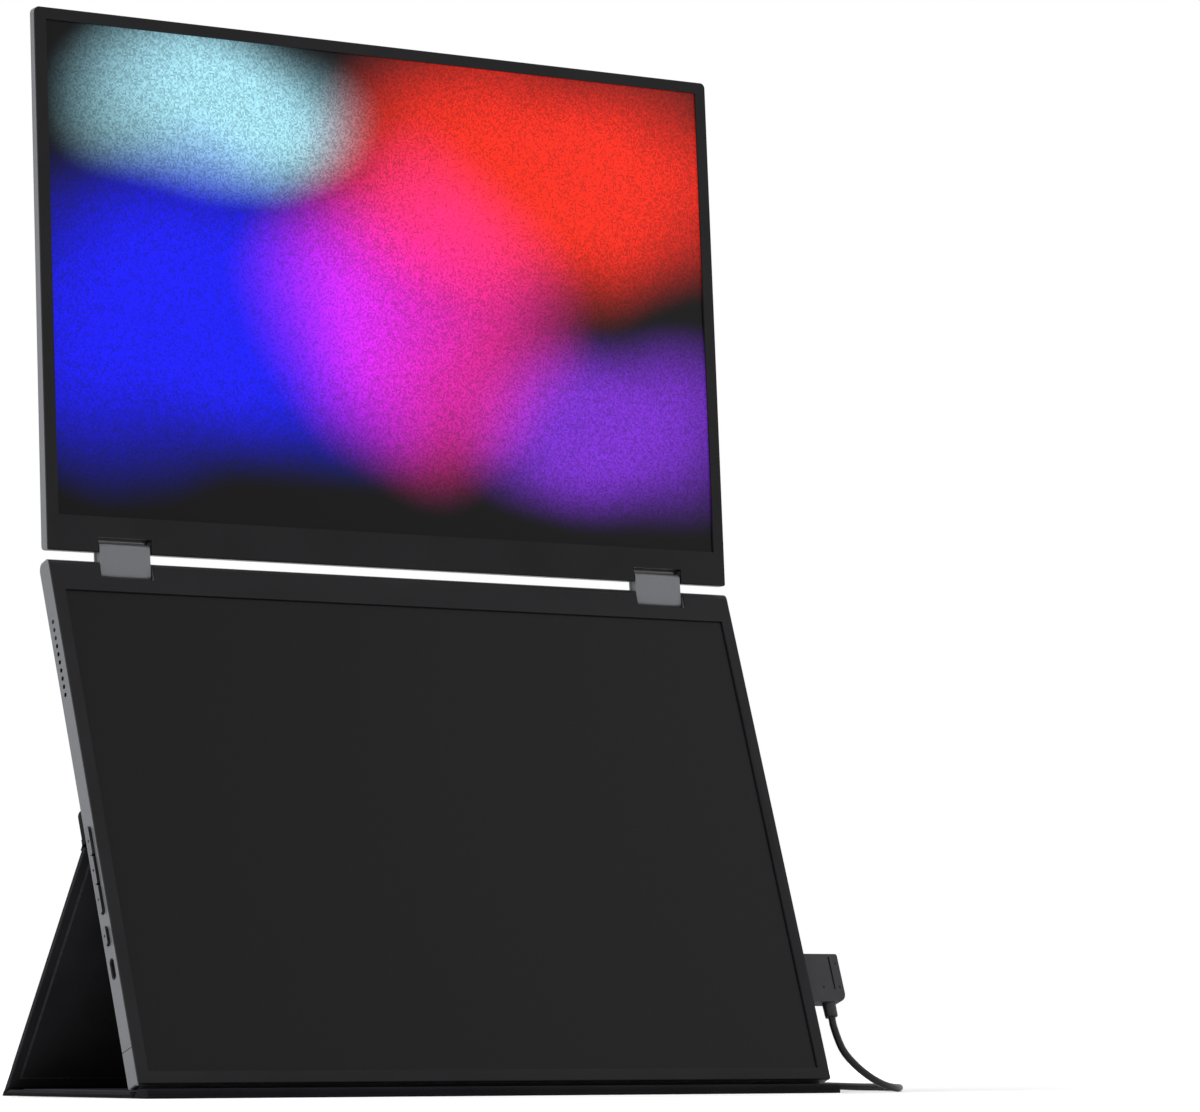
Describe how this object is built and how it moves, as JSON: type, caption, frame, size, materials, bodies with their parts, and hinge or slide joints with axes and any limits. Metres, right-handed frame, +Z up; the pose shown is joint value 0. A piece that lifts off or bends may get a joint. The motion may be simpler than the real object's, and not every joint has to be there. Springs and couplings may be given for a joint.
{
  "type": "two-screen portable monitor with folding stand cover",
  "caption": "Two thin displays stacked one above the other on paired link hinges, standing in the groove of a folded leatherette cover, with side keys and an angled USB-C lead.",
  "frame": {"origin": "bottom centre of the footprint, without the cord", "axes": "+Z up, -Y the way the screens face, +X to the viewer's right"},
  "size_m": [0.4205, 0.1807, 0.4666],
  "materials": {
    "housing_metal": "bead-blasted, satin",
    "key_metal": "satin",
    "bezel_black": "fine matte",
    "display_glass": "anti-glare",
    "circuit_board": "solder mask",
    "hinge_steel": "satin",
    "speaker_plastic": "matte",
    "port_steel": "bright",
    "cover_leather": "fine-grained leatherette",
    "cover_lining": "short nap",
    "stiffener": "plain",
    "magnet": "nickel plated",
    "cord_jacket": "matte",
    "tie_fabric": "woven hook-and-loop"
  },
  "bodies": {
    "lower_unit": {"lower_back_shell": "housing_metal", "lower_bezel": "bezel_black", "lower_display": "display_glass", "bottom_end_cap": "housing_metal", "main_board": "circuit_board", "lower_hinge_leaves": "hinge_steel", "lower_hinge_shafts": "hinge_steel", "lower_hinge_screws": "hinge_steel", "back_keeper_plates": "hinge_steel", "speaker_left": "speaker_plastic", "speaker_right": "speaker_plastic", "usb_port_left": "port_steel", "usb_port_right": "port_steel", "switch_board": "circuit_board", "clip_skin": "cover_leather", "clip_lining": "cover_lining", "clip_magnets": "magnet", "plug_body": "cord_jacket", "plug_contact": "port_steel", "plug_relief": "cord_jacket", "cord_lead": "cord_jacket", "cord_coil": "cord_jacket", "cord_tie": "tie_fabric", "end_plug_relief": "cord_jacket", "end_plug_body": "cord_jacket", "end_plug_contact": "port_steel"},
    "links": {"hinge_links": "hinge_steel"},
    "upper_unit": {"upper_back_shell": "housing_metal", "upper_bezel": "bezel_black", "upper_display": "display_glass", "upper_driver_board": "circuit_board", "upper_hinge_leaves": "hinge_steel", "upper_hinge_shafts": "hinge_steel", "upper_hinge_screws": "hinge_steel"},
    "up_key": {"key_up": "key_metal"},
    "menu_key": {"key_menu": "key_metal"},
    "down_key": {"key_down": "key_metal"},
    "power_key": {"key_power": "key_metal"},
    "strut": {"strut_skin": "cover_leather", "strut_board": "stiffener", "strut_lining": "cover_lining"},
    "floor_panel": {"floor_skin": "cover_leather", "floor_board": "stiffener", "floor_lining": "cover_lining"},
    "lip": {"lip_skin": "cover_leather", "lip_board": "stiffener", "lip_lining": "cover_leather"}
  },
  "joints": [
    {"name": "link_turn", "type": "hinge", "parent": "lower_unit", "child": "links", "pos_m": [0.00065, 0.02761, 0.22176], "axis": [1, 0, 0], "range_deg": [-7.3, 75.13]},
    {"name": "screen_turn", "type": "hinge", "parent": "links", "child": "upper_unit", "pos_m": [0.00065, 0.02874, 0.23271], "axis": [1, 0, 0], "range_deg": [-8.41, 86.38]},
    {"name": "strut_fold", "type": "hinge", "parent": "lower_unit", "child": "strut", "pos_m": [0.00065, -0.00598, 0.10476], "axis": [1, 0, 0], "range_deg": [-51.73, 0]},
    {"name": "floor_fold", "type": "hinge", "parent": "strut", "child": "floor_panel", "pos_m": [0.00065, 0.0611, 0], "axis": [1, 0, 0], "range_deg": [0, 299.54]},
    {"name": "lip_fold", "type": "hinge", "parent": "floor_panel", "child": "lip", "pos_m": [0.00065, -0.04911, 0], "axis": [1, 0, 0], "range_deg": [-15, 0]},
    {"name": "up_press", "type": "slide", "parent": "lower_unit", "child": "up_key", "axis": [1, 0, 0], "range_m": [0, 0.0004], "stiffness_N_per_m": 500, "springref_m": -0.001},
    {"name": "menu_press", "type": "slide", "parent": "lower_unit", "child": "menu_key", "axis": [1, 0, 0], "range_m": [0, 0.0004], "stiffness_N_per_m": 500, "springref_m": -0.001},
    {"name": "down_press", "type": "slide", "parent": "lower_unit", "child": "down_key", "axis": [1, 0, 0], "range_m": [0, 0.0004], "stiffness_N_per_m": 500, "springref_m": -0.001},
    {"name": "power_press", "type": "slide", "parent": "lower_unit", "child": "power_key", "axis": [1, 0, 0], "range_m": [0, 0.0004], "stiffness_N_per_m": 500, "springref_m": -0.001}
  ],
  "couplings": [
    {"joint": "screen_turn", "follows": "link_turn", "ratio": 1.1496},
    {"joint": "floor_fold", "follows": "strut_fold", "ratio": -5.79}
  ]
}
